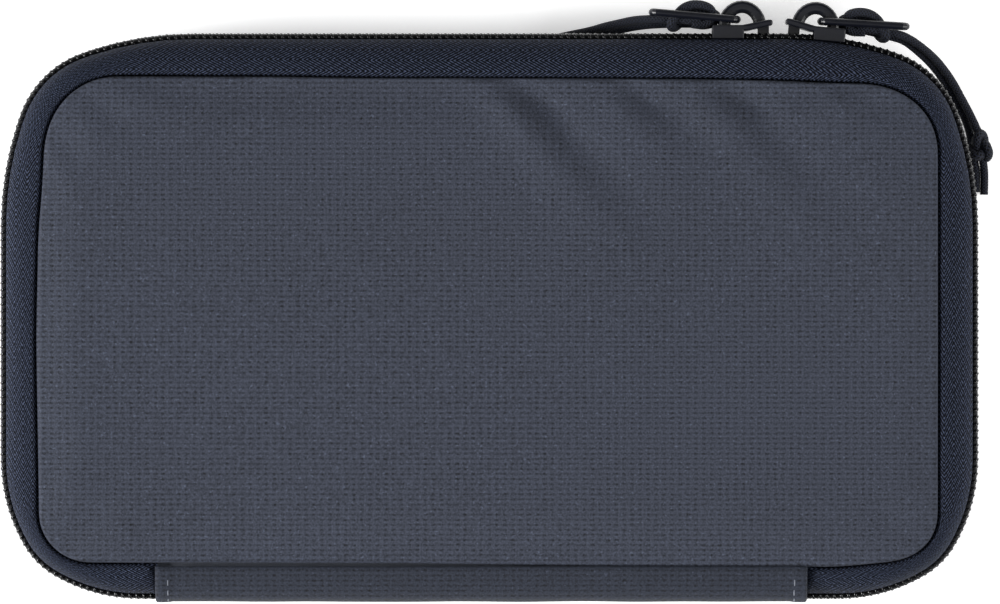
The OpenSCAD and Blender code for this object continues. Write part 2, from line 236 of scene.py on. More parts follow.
def surface(name, grid, u_places, v_places, wrap_u=False, wrap_v=False, cap=False):
    """Quads over a grid of points. Places are UVs in metres, one more than the points where it wraps."""
    grid = np.asarray(grid, float)
    nu, nv = grid.shape[:2]
    faces, uvs = [], []
    for i in range(nu if wrap_u else nu - 1):
        for j in range(nv if wrap_v else nv - 1):
            i2, j2 = (i + 1) % nu, (j + 1) % nv
            faces.append((i * nv + j, i2 * nv + j, i2 * nv + j2, i * nv + j2))
            u0, u1, v0, v1 = u_places[i], u_places[i + 1], v_places[j], v_places[j + 1]
            uvs += [(u0, v0), (u1, v0), (u1, v1), (u0, v1)]
    if cap:
        faces.append(tuple(range(nv)))
        faces.append(tuple((nu - 1) * nv + j for j in reversed(range(nv))))
        uvs += [(u_places[0], v) for v in v_places[:nv]]
        uvs += [(u_places[-1], v) for v in reversed(v_places[:nv])]
    return add_mesh(name, grid.reshape(-1, 3), faces, uvs)


def unit(v):
    return v / np.maximum(np.linalg.norm(v, axis=-1, keepdims=True), 1e-12)


def tube(name, line, radius, sides=14, guide=None):
    """A round tube along a line of points, with UVs along and round it."""
    line = np.asarray(line, float)
    ahead = unit(np.gradient(line, axis=0))
    if guide is None:
        guide = carried_guide(ahead)
    out = unit(guide - np.sum(guide * ahead, axis=1, keepdims=True) * ahead)
    side = np.cross(ahead, out)
    turns = np.linspace(0, 2 * math.pi, sides + 1)[:-1]
    radius = np.broadcast_to(radius, (len(line),))[:, None, None]
    ring = out[:, None] * np.cos(turns)[None, :, None] + side[:, None] * np.sin(turns)[None, :, None]
    grid = line[:, None] + ring * radius
    round_places = np.linspace(0, 2 * math.pi * float(radius.max()), sides + 1)
    return surface(name, grid, arc_lengths(line), round_places, wrap_v=True, cap=True)


def carried_guide(ahead):
    """A sideways direction carried along a line with no twist."""
    start = np.cross(ahead[0], (0.0, 0.0, 1.0))
    if np.linalg.norm(start) < 0.1:
        start = np.cross(ahead[0], (0.0, 1.0, 0.0))
    guides = [unit(start)]
    for direction in ahead[1:]:
        last = guides[-1]
        guides.append(unit(last - np.dot(last, direction) * direction))
    return np.array(guides)


def mirror_to_back(points):
    """The front half's points, on the back half."""
    flipped = np.array(points, float)
    flipped[..., 2] = CASE_T - flipped[..., 2]
    return flipped


def apply_modifiers(piece):
    """Bakes a piece's modifiers into its mesh."""
    depsgraph = bpy.context.evaluated_depsgraph_get()
    mesh = bpy.data.meshes.new_from_object(piece.evaluated_get(depsgraph))
    piece.modifiers.clear()
    piece.data = mesh
    return piece


def move_points(piece, points):
    piece.data.vertices.foreach_set("co", np.asarray(points, float).ravel())
    piece.data.update()


def thicken(piece, thickness, offset=0.0):
    """Gives a skin a thickness: about its middle, or all on one side of it at an offset of -1 or 1."""
    modifier = piece.modifiers.new("thickness", "SOLIDIFY")
    modifier.thickness = thickness
    modifier.offset = offset
    apply_modifiers(piece)


def subdivide(piece):
    modifier = piece.modifiers.new("smoothing", "SUBSURF")
    modifier.levels = 1
    modifier.render_levels = 1
    return apply_modifiers(piece)


def join(name, pieces):
    """One mesh from several."""
    vertices, faces, uvs, base = [], [], [], 0
    for piece in pieces:
        mesh = piece.data
        vertices += [tuple(v.co) for v in mesh.vertices]
        layer = mesh.uv_layers[0].data
        for polygon in mesh.polygons:
            faces.append(tuple(base + i for i in polygon.vertices))
            uvs += [tuple(layer[k].uv) for k in polygon.loop_indices]
        base += len(mesh.vertices)
        bpy.data.objects.remove(piece)
        bpy.data.meshes.remove(mesh)
    return add_mesh(name, vertices, faces, uvs)


def paint(piece, look):
    piece.data.materials.clear()
    piece.data.materials.append(look)


def finish_piece(piece, look, body, slot, *nodes):
    paint(piece, look)
    if nodes:
        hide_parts(*nodes)
    if body:
        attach(piece, body)
    return piece


# ---- Materials ----

class Look:
    """A material whose pattern is built from small maths steps. Lengths are in millimetres."""

    def __init__(self, name, roughness=0.8, sheen=0.0, coat=0.0, specular=0.5):
        self.material = bpy.data.materials.new(name)
        self.material.use_nodes = True
        self.nodes = self.material.node_tree.nodes
        self.links = self.material.node_tree.links
        self.shader = self.nodes["Principled BSDF"]
        self.set_inputs(self.shader, {
            "Roughness": roughness, "Sheen Weight": sheen, "Sheen Roughness": 0.5,
            "Coat Weight": coat, "Coat Roughness": 0.3, "Specular IOR Level": specular})

    @staticmethod
    def set_inputs(node, values):
        for name, value in values.items():
            node.inputs[name].default_value = value

    def put(self, socket, value):
        if hasattr(value, "is_output"):
            self.links.new(value, socket)
        else:
            socket.default_value = value

    def maths(self, operation, *values):
        node = self.nodes.new("ShaderNodeMath")
        node.operation = operation
        for socket, value in zip(node.inputs, values):
            self.put(socket, value)
        return node.outputs[0]

    def add(self, first, *others):
        for other in others:
            first = self.maths("ADD", first, other)
        return first

    def times(self, a, b):
        return self.maths("MULTIPLY", a, b)

    def wave(self, place, period):
        """A cosine along a coordinate, from 0 to 1."""
        turn = self.times(place, 2 * math.pi / period)
        return self.maths("MULTIPLY_ADD", self.maths("COSINE", turn), 0.5, 0.5)

    def clamp_range(self, value, low, high):
        """0 below low, 1 above high, smooth between."""
        node = self.nodes.new("ShaderNodeMapRange")
        node.interpolation_type = "SMOOTHSTEP"
        self.put(node.inputs["Value"], value)
        self.put(node.inputs["From Min"], low)
        self.put(node.inputs["From Max"], high)
        return node.outputs["Result"]

    def place(self, kind):
        """Coordinates in millimetres: kind is UV or Object."""
        node = self.nodes.new("ShaderNodeTexCoord")
        scaled = self.nodes.new("ShaderNodeVectorMath")
        scaled.operation = "SCALE"
        self.links.new(node.outputs[kind], scaled.inputs[0])
        scaled.inputs["Scale"].default_value = 1 / MM
        split = self.nodes.new("ShaderNodeSeparateXYZ")
        self.links.new(scaled.outputs[0], split.inputs[0])
        return scaled.outputs[0], split.outputs[0], split.outputs[1]

    def grain(self, vector, scale, detail=2.0, roughness=0.5):
        node = self.nodes.new("ShaderNodeTexNoise")
        self.links.new(vector, node.inputs["Vector"])
        self.set_inputs(node, {"Scale": scale, "Detail": detail, "Roughness": roughness})
        return node.outputs["Fac"]

    def shade(self, colour, amount):
        """A colour multiplied by a factor."""
        node = self.nodes.new("ShaderNodeVectorMath")
        node.operation = "SCALE"
        self.put(node.inputs[0], colour)
        self.put(node.inputs["Scale"], amount)
        return node.outputs[0]

    def colour(self, base, amount):
        self.put(self.shader.inputs["Base Color"], self.shade(base, amount))

    def roughness(self, value):
        self.put(self.shader.inputs["Roughness"], value)

    def bump(self, height, distance, strength=1.0):
        node = self.nodes.new("ShaderNodeBump")
        self.set_inputs(node, {"Strength": strength, "Distance": distance})
        self.put(node.inputs["Height"], height)
        self.links.new(node.outputs["Normal"], self.shader.inputs["Normal"])


def srgb(red, green, blue):
    """A colour given as 0 to 255 levels, as linear light."""
    levels = [level / 255 for level in (red, green, blue)]
    return tuple(c / 12.92 if c <= 0.04045 else ((c + 0.055) / 1.055) ** 2.4 for c in levels)


def ripstop(name, base):
    """Fine ripstop: a lighter yarn grid with dark dashes in its openings, and painted glints as tiny bright
    specks.
    """
    look = Look(name, roughness=0.72, sheen=0.02, specular=0.2)
    place, x, y = look.place("Object")
    wobble = look.times(look.add(look.grain(place, 0.35), -0.5), 0.6)
    across = look.wave(look.add(x, wobble), 1.94)
    down = look.wave(look.add(y, look.times(wobble, 0.6)), 1.24)
    patchy = look.add(look.times(look.grain(place, 0.22, 2.0), 1.3), 0.30)
    dash = look.times(look.clamp_range(look.times(across, down), 0.22, 0.80), patchy)
    row = look.times(look.clamp_range(down, 0.45, 1.0), look.add(look.grain(place, 0.5, 2.0), 0.2))
    yarn = look.add(look.times(look.wave(x, 0.32), 0.5), look.times(look.wave(y, 0.31), 0.5))
    fibre = look.grain(place, 2.1, 1.0, 0.6)
    # Painted glints: tiny bright specks added to the colour, standing in for light caught by single fibres.
    painted_glint = look.clamp_range(look.grain(place, 1.5, 1.0, 0.4), 0.66, 0.76)
    cloud = look.grain(place, 0.03, 2.0)
    tone = look.add(look.times(dash, -0.36), look.times(fibre, 2.0), look.times(yarn, 0.10))
    tone = look.add(tone, look.times(painted_glint, 0.9), look.times(cloud, 0.12))
    look.colour(base, look.add(tone, look.times(row, -0.30), 0.05))
    height = look.add(look.times(dash, -0.6), look.add(look.times(yarn, 0.4), look.times(fibre, 0.5)))
    look.bump(height, 0.12 * MM, 0.9)
    return look.material


def herringbone(name, base, column=2.7, pitch=1.2, climb=1.84):
    """Twill tape: slanted rows of short pale floats that change slant from column to column, along U."""
    look = Look(name, roughness=0.75, specular=0.06)
    place, u, v = look.place("UV")
    zigzag = look.maths("PINGPONG", v, column)
    rib = look.clamp_range(look.wave(look.add(u, look.times(zigzag, climb)), pitch), 0.30, 0.85)
    floats = look.clamp_range(look.wave(look.add(u, look.times(zigzag, -0.9 * climb)), 2 * pitch), 0.05, 0.5)
    fibre = look.grain(place, 1.6, 1.0, 0.6)
    twill = look.times(rib, look.add(look.times(floats, 0.6), 0.4))
    tone = look.times(twill, look.add(look.times(fibre, 9.0), -1.4))
    look.colour(base, look.add(tone, 0.12))
    look.bump(look.add(look.times(twill, 0.5), look.times(fibre, 0.35)), 0.16 * MM, 1.0)
    return look.material


def plain_cloth(name, base, thread=0.42):
    look = Look(name, roughness=0.8, sheen=0.15, specular=0.3)
    place, x, y = look.place("Object")
    warp, weft = look.wave(x, thread), look.wave(y, thread)
    fibre = look.grain(place, 2.4, 3.0, 0.6)
    cloud = look.grain(place, 0.05, 2.0)
    tone = look.add(look.times(look.maths("MAXIMUM", warp, weft), 0.22), look.times(fibre, 0.45))
    look.colour(base, look.add(tone, look.times(cloud, 0.2), 0.55))
    look.bump(look.add(look.times(warp, 0.5), look.times(weft, 0.5)), 0.07 * MM, 0.8)
    return look.material


def ribbed_elastic(name, base, kind="Object", along=1):
    look = Look(name, roughness=0.78, sheen=0.2, specular=0.3)
    place, *axes = look.place(kind)
    rib = look.wave(axes[along], 1.1)
    fibre = look.grain(place, 2.2, 3.0, 0.6)
    look.colour(base, look.add(look.times(rib, 0.5), look.times(fibre, 0.6), 0.4))
    look.bump(look.add(rib, look.times(fibre, 0.3)), 0.15 * MM, 0.9)
    return look.material


def nylon(name, base):
    """Glossy dark monofilament."""
    look = Look(name, roughness=0.22, specular=0.4)
    place = look.place("Object")[0]
    look.colour(base, look.add(look.times(look.grain(place, 0.4, 2.0), 0.8), 0.6))
    look.roughness(look.add(look.times(look.grain(place, 1.1, 2.0), 0.16), 0.14))
    return look.material


def braided_cord(name, base):
    """Braid: two slanted sets of strands that cross, worked out from the tube's own UVs."""
    look = Look(name, roughness=0.7, sheen=0.03, specular=0.2)
    place, u, v = look.place("UV")
    left = look.wave(look.add(u, look.times(v, 0.8)), 0.80)
    right = look.wave(look.add(u, look.times(v, -0.8)), 0.80)
    braid = look.maths("POWER", look.maths("MAXIMUM", left, right), 2.5)
    fibre = look.grain(place, 3.0, 3.0, 0.7)
    look.colour(base, look.add(look.times(braid, 2.8), look.times(fibre, 1.2), -0.75))
    look.bump(look.add(braid, look.times(fibre, 0.4)), 0.16 * MM, 1.0)
    return look.material


def painted_metal(name, base):
    """Satin paint over a casting: faint orange peel, cloudy gloss and paler rubbed spots."""
    look = Look(name, roughness=0.36, coat=0.1, specular=0.25)
    place = look.place("Object")[0]
    rubbed = look.clamp_range(look.grain(place, 0.5, 4.0, 0.65), 0.60, 0.78)
    tone = look.add(look.times(look.grain(place, 0.25, 2.0), 0.6), 0.65)
    look.colour(base, look.add(tone, look.times(rubbed, 0.8)))
    look.roughness(look.add(look.times(look.grain(place, 0.9, 3.0), 0.25), 0.24))
    look.bump(look.grain(place, 2.2, 2.0), 0.03 * MM, 0.5)
    return look.material


def thread_look(name, base):
    look = Look(name, roughness=0.6, sheen=0.2, specular=0.4)
    u, v = look.place("UV")[1:]
    twist = look.wave(look.add(u, v), 0.35)
    look.colour(base, look.add(look.times(twist, 0.4), 0.75))
    look.bump(twist, 0.05 * MM, 0.8)
    return look.material


SHELL = ripstop("shell_ripstop", srgb(47, 51, 62))
SPINE_CLOTH = ripstop("spine_ripstop", srgb(35, 39, 49))
TAPE = herringbone("zipper_tape", srgb(29, 33, 44))
COIL = nylon("zipper_coil", srgb(4, 5, 8))
FILLER = plain_cloth("zipper_filler", srgb(8, 9, 14))
LINING = plain_cloth("lining_cloth", srgb(78, 82, 92))
BINDING = ribbed_elastic("seam_binding", srgb(34, 37, 45), kind="UV", along=0)
ELASTIC = ribbed_elastic("loop_elastic", srgb(40, 43, 51))
MESH = plain_cloth("pocket_mesh", srgb(44, 47, 55), thread=0.5)
METAL = painted_metal("slider_paint", srgb(11, 13, 21))
CORD = braided_cord("pull_cord", srgb(17, 20, 29))
STITCH = thread_look("pale_thread", srgb(104, 109, 120))


# ---- Camera and light ----

VIEW_WIDTH = 0.2454
VIEW_CENTRE = (2.6 * MM, 3.5 * MM)
VIEW_HEIGHT = 2.4
SOFT_BOX = (0.9, 0.6)
WHITE = (1.0, 1.0, 1.0, 1.0)
WORLD_GLOW = 0.16
FLOOR_GLOW = 0.45
FLOOR_HALF = 2
FLOOR_Z = -0.0002

camera_data = bpy.data.cameras.new("camera")
camera_data.sensor_width = 36
camera_data.lens = 36 * (VIEW_HEIGHT - MID_Z) / VIEW_WIDTH
camera_data.clip_end = 10
camera = bpy.data.objects.new("camera", camera_data)
camera.location = (VIEW_CENTRE[0], VIEW_CENTRE[1], VIEW_HEIGHT)
scene.collection.objects.link(camera)
scene.camera = camera


def soft_light(name, place, power):
    data = bpy.data.lights.new(name, "AREA")
    data.shape = "RECTANGLE"
    data.size, data.size_y = SOFT_BOX
    data.energy = power
    light = bpy.data.objects.new(name, data)
    light.location = place
    light.rotation_euler = (-Vector(place)).to_track_quat("-Z", "Y").to_euler()
    scene.collection.objects.link(light)


soft_light("left_box", (-1.60, -0.40, 0.85), 62)
soft_light("right_box", (1.50, -0.20, 0.85), 28)
soft_light("top_box", (0.05, 0.0, 1.40), 2)

world = bpy.data.worlds.new("world")
world.use_nodes = True
world.node_tree.nodes["Background"].inputs["Color"].default_value = WHITE
world.node_tree.nodes["Background"].inputs["Strength"].default_value = WORLD_GLOW
scene.world = world
scene.view_settings.view_transform = "Standard"

floor_look = Look("floor", roughness=0.9, specular=0.2)
floor_place = floor_look.place("Object")[0]
floor_tone = floor_look.add(floor_look.times(floor_look.grain(floor_place, 0.02), 0.02), 0.98)
floor_look.colour((0.93, 0.93, 0.93), floor_tone)
floor_look.set_inputs(floor_look.shader, {"Emission Color": WHITE, "Emission Strength": FLOOR_GLOW})
floor_corners = [(FLOOR_HALF * x, FLOOR_HALF * y, FLOOR_Z) for x, y in ((-1, -1), (1, -1), (1, 1), (-1, 1))]
floor = add_mesh("floor", floor_corners, [(0, 1, 2, 3)])
floor.data.materials.append(floor_look.material)


# ---- Pull cords ----

LEFT_ROUTE_A = [
    (52, 72.5, 15), (46, 72.7, 15), (40, 72.9, 14.8), (35.7, 72.7, 13.8), (32, 72, 12), (28.3, 71.2, 10),
    (25, 70.3, 7.8), (20, 69.3, 5.2), (13, 68, 2.6), (7, 67.8, 2.4), (1, 68, 1.4),
]
LEFT_ROUTE_B = [
    (52, 71.8, 13), (46, 71.8, 12.8), (40, 71.6, 12.4), (35.5, 71.1, 11), (31, 70.2, 9), (27, 69.4, 7),
    (23, 68.6, 4.8), (18, 67.6, 2.8), (13, 66.4, 1.4), (7, 66.2, 1.4), (2, 65.8, 1.2),
]
RIGHT_ROUTE_A = [
    (90, 70.8, 15), (98, 69.6, 15), (102, 68.6, 14), (106, 66.2, 12), (110, 62.8, 9),
    (113.5, 58.4, 6.4), (116.2, 53.8, 4.6), (118.6, 49.4, 3.4), (120.4, 45.4, 3), (121, 41.8, 2.8),
    (122, 36, 1.8), (122, 30, 1.4),
]
RIGHT_ROUTE_B = [
    (90, 70.6, 13), (98, 68.8, 12.6), (101.8, 67.6, 11.8), (105.3, 65.1, 9.8), (109, 61.7, 7),
    (112.4, 57.3, 4.6), (115.2, 52.7, 2.8), (117.4, 48.4, 1.6), (118.6, 44.6, 1.3), (119, 41, 1.6),
    (120, 36, 1.4), (120, 30.6, 1.2),
]
# The hitch round a pull's crossbar, as [along the pull, outwards, sideways] from the bar's middle.
# It is one half, from a strand to the middle of the bight.
HITCH_HALF = [
    (2.0, -2.0, 1.0), (0.0, -2.0, 1.0), (-2.0, -1.3, 1.05), (-2.9, 0.3, 1.1), (-2.2, 2.0, 1.1),
    (0.0, 2.75, 1.1), (2.4, 2.6, 1.15), (4.4, 1.5, 1.3), (5.7, -0.4, 1.7), (6.6, -2.2, 1.9), (7.0, -3.1, 1.1),
    (7.1, -3.3, 0.0),
]
HITCH_SKEW = 0.5
FAR_ARCH = 0.5
CROSSBAR = 8.4 * MM


def cord_strand(name, route, body, node):
    line = smooth_line(np.array(route) * MM, 0.6 * MM)
    strand = tube(name, line, CORD_R)
    finish_piece(strand, CORD, body, "pull_cord", node)


def hitch(name, pivot, tilt, side, body):
    """Lark's head round the crossbar of a pull that points along side times X."""
    half = np.array(HITCH_HALF)
    other = half[::-1][1:] * (1, 1, -1)
    other[:, 1] = np.where(other[:, 1] > 0, other[:, 1] * FAR_ARCH, other[:, 1])
    local = smooth_line(np.concatenate([half, other]) * MM, 0.5 * MM)
    local[:, 0] += HITCH_SKEW * local[:, 2]
    along = np.array((side * math.cos(tilt), math.sin(tilt), 0.0))
    out = np.array((-side * math.sin(tilt), math.cos(tilt), 0.0))
    up = np.array((0.0, 0.0, 1.0))
    line = np.array(pivot) + along * (CROSSBAR + local[:, :1]) + out * local[:, 1:2] + up * local[:, 2:]
    piece = tube(name, line, HITCH_R)
    return finish_piece(piece, CORD, body, "pull_cord")


def overhand_knot(name, centre, heading, length, width, height, body, node):
    """Overhand knot in the doubled cord: two nested trefoils, the second turned and smaller."""
    share = np.linspace(0, 2 * math.pi, 110)
    long_axis = np.array((math.cos(heading), math.sin(heading), 0.0))
    side_axis = np.array((-math.sin(heading), math.cos(heading), 0.0))
    up_axis = np.array((0.0, 0.0, 1.0))
    strands = []
    for k, (size, turn, lift) in enumerate(((1.0, 0.3, 0.35), (0.72, 0.95, -0.45))):
        round_x = (np.sin(share) + 2 * np.sin(2 * share)) / 3
        round_y = (np.cos(share) - 2 * np.cos(2 * share)) / 3
        along = (round_x * math.cos(turn) - round_y * math.sin(turn)) * (length / 2 - KNOT_R) * size
        across = (round_x * math.sin(turn) + round_y * math.cos(turn)) * (width / 2 - KNOT_R) * size
        rise = -np.sin(3 * share) * (height / 2 - KNOT_R) * 0.85 + lift * MM
        line = (np.array(centre) + long_axis * along[:, None] + side_axis * across[:, None]
                + up_axis * rise[:, None])
        strands.append(tube(f"{name}_{k}", line, KNOT_R))
    return finish_piece(join(name, strands), CORD, body, "pull_cord", node)


def knot_box(node):
    low, high = node_box(node)
    return (low + high) / 2, high - low


left_pivot = JOINTS["left_pull_swing"]["pos_m"]
right_pivot = JOINTS["right_pull_swing"]["pos_m"]
left_centre, left_size = knot_box("knot_left")
right_centre, right_size = knot_box("knot_right")

left_hitch = hitch("hitch_left", left_pivot, math.radians(5), -1, "pull_left_body")
right_hitch = hitch("hitch_right", right_pivot, math.radians(-3.5), 1, "pull_right_body")
left_knot = overhand_knot("left_knot", left_centre, 0.0, left_size[0], left_size[1], left_size[2],
                          "pull_left_body", "knot_left")
right_knot = overhand_knot("right_knot", right_centre, math.radians(-84), right_size[1], right_size[0],
                           right_size[2], "pull_right_body", "knot_right")
for side, routes, on_it in (
        ("left", (LEFT_ROUTE_A, LEFT_ROUTE_B), [left_hitch, left_knot]),
        ("right", (RIGHT_ROUTE_A, RIGHT_ROUTE_B), [right_hitch, right_knot])):
    for letter, route in zip("ab", routes):
        cord_strand(f"{side}_strand_{letter}", route, f"pull_{side}_body", f"cord_{side}_{letter}")


# ---- Zipper: coil and tape ----

def blended(levels, closed):
    """Grid of points round the case, one column per level: [share towards the panel, inset, height]."""
    columns = []
    for share, inset, height in levels:
        outer = CASE_RIM.points(COIL_T + inset, closed)
        inner = PANEL_RIM.points(inset, closed)
        flat = outer[:, :2] * (1 - share) + inner[:, :2] * share
        columns.append(np.column_stack([flat, np.full(len(flat), height)]))
    return np.stack(columns, axis=1)


def ripple(points, size, scale, seed):
    """Small uneven offset for each point, the same on every run."""
    shift = Vector((seed * 7.3, seed * 3.1, 0.0))
    flat = points.reshape(-1, 3)
    rows = [noise.noise(Vector(p) / scale + shift) for p in flat]
    return np.array(rows).reshape(points.shape[:-1]) * size


def along_rim(points):
    """How far round the case each point lies, from the nearest place on the case's outline."""
    rim = resample(CASE_RIM.points(0.0, False)[:, :2], 0.1 * MM)
    along = arc_lengths(rim)
    rows = []
    for row in points[..., :2]:
        distances = np.linalg.norm(row[:, None] - rim[None], axis=2)
        rows.append(along[np.argmin(distances, axis=1)])
    return np.array(rows).ravel()


def zip_tape(name, front, body, node):
    turns = np.linspace(0, math.pi / 2, 15)
    rise = TAPE_SEAM - TAPE_BEND
    outside = [(0.0, 0.0, MID_Z + 0.8 * MM), (0.0, 0.0, MID_Z + 2.4 * MM)]
    outside += [(1 - math.cos(a), -TAPE_LIP * math.cos(a) ** 2, MID_Z + TAPE_BEND + rise * math.sin(a))
                for a in turns]
    outside += [(1.0, 0.35 * MM, MID_Z + TAPE_SEAM - 0.9 * MM), (1.0, 1.1 * MM, MID_Z + TAPE_SEAM - 1.3 * MM)]
    inside = [(1 - math.cos(a), TAPE_T * math.cos(a), MID_Z + TAPE_BEND + (rise - TAPE_T) * math.sin(a))
              for a in turns[::-1]]
    inside += [(0.0, TAPE_T, MID_Z + 0.8 * MM)]
    grid = blended(outside + inside, False)
    sag = np.zeros(grid.shape[1])
    sag[2:-1] = 1.0
    grid[..., 2] += ripple(grid, 0.35 * MM, 0.012, 1 if front else 2) * sag
    if not front:
        grid = mirror_to_back(grid)[:, ::-1]
    across = arc_lengths(grid[grid.shape[0] // 2] * (1, 1, 0.4))
    across = np.append(across, across[-1] + TAPE_T)
    piece = surface(name, grid, np.zeros(len(grid)), across, wrap_v=True, cap=True)
    along = along_rim(grid)
    weave = piece.data.uv_layers[0].data
    for loop in piece.data.loops:
        weave[loop.index].uv[0] = along[loop.vertex_index]
    return finish_piece(piece, TAPE, body, "zipper_tape", node)


def zip_coil(name, front, body, node):
    """The nylon spiral: one flattened helix along the zipper's path, round a filler cord."""
    line = resample(CASE_RIM.points(COIL_T / 2, False), 0.25 * MM)
    along = arc_lengths(line[:, :2])
    steps = int(along[-1] / COIL_PITCH * COIL_STEPS)
    places = np.linspace(0, along[-1], steps)
    centre = np.stack([np.interp(places, along, line[:, k]) for k in range(4)], axis=1)
    out = unit(np.column_stack([centre[:, 2:], np.zeros(steps)]))
    up = np.array((0.0, 0.0, 1.0 if front else -1.0))
    middle = np.column_stack([centre[:, :2], np.full(steps, MID_Z)]) + up * COIL_LIFT
    phase = 2 * math.pi * places / COIL_PITCH + (0 if front else math.pi)
    wide, deep = 1.72 * MM, COIL_T / 2 - WIRE_R
    depth = np.sign(np.sin(phase)) * np.abs(np.sin(phase)) ** 0.85 * -deep
    height = np.sign(np.cos(phase)) * np.abs(np.cos(phase)) ** 0.5 * wide
    spread = out * depth[:, None] + up * height[:, None]
    spiral = tube(name, middle + spread, WIRE_R, sides=6, guide=unit(spread))
    finish_piece(spiral, COIL, body, "zipper_coil", node)
    turns = np.linspace(0, 2 * math.pi, 9)[:-1]
    core_line, core_out = middle[::2 * COIL_STEPS], out[::2 * COIL_STEPS]
    section = [((0.9 * math.cos(a) - 0.05) * MM, 1.35 * MM * math.sin(a)) for a in turns]
    grid = np.stack([core_line + core_out * r + up * z for r, z in section], axis=1)
    around = np.linspace(0, 6 * MM, 9)
    filler = surface(name + "_filler", grid, arc_lengths(core_line), around, wrap_v=True, cap=True)
    finish_piece(filler, FILLER, body, "zipper_tape")


zip_tape("front_tape", True, "front_shell", "front_zip_tape")
zip_tape("back_tape", False, "back_shell", "back_zip_tape")
zip_coil("front_spiral", True, "front_shell", "front_coil")
zip_coil("back_spiral", False, "back_shell", "back_coil")


# ---- Padded panels ----

PANEL_CELL = 2.4 * MM
PANEL_FRAMES = 20
PANEL_INSET = 1.35 * MM
PANEL_SWELL = 1.1 * MM
CUSHION_CLOTH = {
    "vertex_group_mass": "edge", "quality": 6, "mass": 0.1, "tension_stiffness": 12,
    "compression_stiffness": 12, "shear_stiffness": 6, "bending_stiffness": 1.5,
    "use_pressure": True, "uniform_pressure_force": 2.2,
}


def boundary_side(points, start, end, count):
    """Evenly spaced points along part of a closed outline."""
    wrapped = np.concatenate([points, points])
    if end <= start:
        end += len(points)
    part = wrapped[start:end + 1, :2]
    along = arc_lengths(part)
    places = np.linspace(0, along[-1], count)
    return np.stack([np.interp(places, along, part[:, k]) for k in range(2)], axis=1)


def nearest(points, direction):
    """The outline point whose outward direction is closest to this one."""
    return int(np.argmax(points[:, 2:] @ np.array(direction) / math.sqrt(2)))


def panel_grid(inset):
    """Flat grid over the panel, whose border follows its rounded outline."""
    outline = PANEL_RIM.points(inset, True, corner_steps=40)
    diagonals = ((-1, -1), (-1, 1), (1, 1), (1, -1))
    low_left, top_left, top_right, low_right = (nearest(outline, way) for way in diagonals)
    nx = int(PANEL_W / PANEL_CELL)
    ny = int(PANEL_H / PANEL_CELL)
    left = boundary_side(outline, low_left, top_left, ny)
    top = boundary_side(outline, top_left, top_right, nx)
    right = boundary_side(outline, top_right, low_right, ny)[::-1]
    bottom = boundary_side(outline, low_right, low_left, nx)[::-1]
    u = np.linspace(0, 1, nx)[:, None, None]
    v = np.linspace(0, 1, ny)[None, :, None]
    sides = left[None] * (1 - u) + right[None] * u + bottom[:, None] * (1 - v) + top[:, None] * v
    corners = (bottom[0] * (1 - u) * (1 - v) + bottom[-1] * u * (1 - v)
               + top[0] * (1 - u) * v + top[-1] * u * v)
    return sides - corners


def swell(piece, pinned, cap):
    """Inflates a soft skin with a short cloth simulation, holding its edge and capping its travel."""
    rest = np.array([v.co for v in piece.data.vertices])
    group = piece.vertex_groups.new(name="edge")
    group.add([int(i) for i in pinned], 1.0, "REPLACE")
    cloth = piece.modifiers.new("cloth", "CLOTH")
    settings = cloth.settings
    for name, value in CUSHION_CLOTH.items():
        setattr(settings, name, value)
    settings.effector_weights.gravity = 0
    for step in range(1, PANEL_FRAMES + 1):
        scene.frame_set(step)
    apply_modifiers(piece)
    moved = np.array([v.co for v in piece.data.vertices])
    travel = moved - rest
    size = np.linalg.norm(travel, axis=1, keepdims=True)
    travel *= np.minimum(1.0, cap / np.maximum(size, 1e-9))
    move_points(piece, rest + travel)
    piece.vertex_groups.clear()
    scene.frame_set(1)


def panel(name, front, body, nodes, seed):
    """Crowned ripstop skin that rolls down into the seam all round, with faint puckers along it."""
    flat = panel_grid(PANEL_INSET)
    nx, ny = flat.shape[:2]
    grid = np.dstack([flat, np.full((nx, ny), CASE_T - 0.9 * MM)])
    faces = [(i * ny + j, (i + 1) * ny + j, (i + 1) * ny + j + 1, i * ny + j + 1)
             for i in range(nx - 1) for j in range(ny - 1)]
    border = ([(i, 0) for i in range(nx - 1)] + [(nx - 1, j) for j in range(ny - 1)]
              + [(i, ny - 1) for i in range(nx - 1, 0, -1)] + [(0, j) for j in range(ny - 1, 0, -1)])
    ring = [i * ny + j for i, j in border]
    points = grid.reshape(-1, 3)
    middle = points[ring]
    rolls = []
    for outset, drop in ((0.40, 0.30), (0.62, 0.95), (0.60, 1.7), (0.45, 2.4)):
        outward = unit(middle[:, :2] - np.array((0.0, PANEL_Y)))
        lower = middle.copy()
        lower[:, :2] += outward * outset * MM
        lower[:, 2] -= drop * MM
        rolls.append(lower)
    skirt = list(ring)
    vertices = [points]
    for layer, lower in enumerate(rolls):
        base = nx * ny + layer * len(ring)
        fresh = [base + k for k in range(len(ring))]
        for k in range(len(ring)):
            n = (k + 1) % len(ring)
            faces.append((skirt[k], fresh[k], fresh[n], skirt[n]))
        skirt = fresh
        vertices.append(lower)
    piece = add_mesh(name, np.concatenate(vertices), faces)
    pinned = range(nx * ny + len(ring), nx * ny + 4 * len(ring))
    swell(piece, pinned, PANEL_SWELL)
    subdivide(piece)
    shape_panel(piece, seed)
    if not front:
        move_points(piece, mirror_to_back(np.array([v.co for v in piece.data.vertices])))
        piece.data.flip_normals()
    finish_piece(piece, SHELL, body, "shell_fabric", *nodes)


# Soft folds that run in from the top seam: [start x, end x, end distance from the seam, width, depth].
TOP_FOLDS = [
    (-63, -76, 12, 3.4, -0.8), (-50, -64, 18, 4.2, -0.9), (2, 27, 30, 4.4, 1.9), (29, 42, 15, 3.8, 1.5),
    (53, 75, 28, 4.6, 1.5), (80, 91, 10, 3.4, 0.9),
]
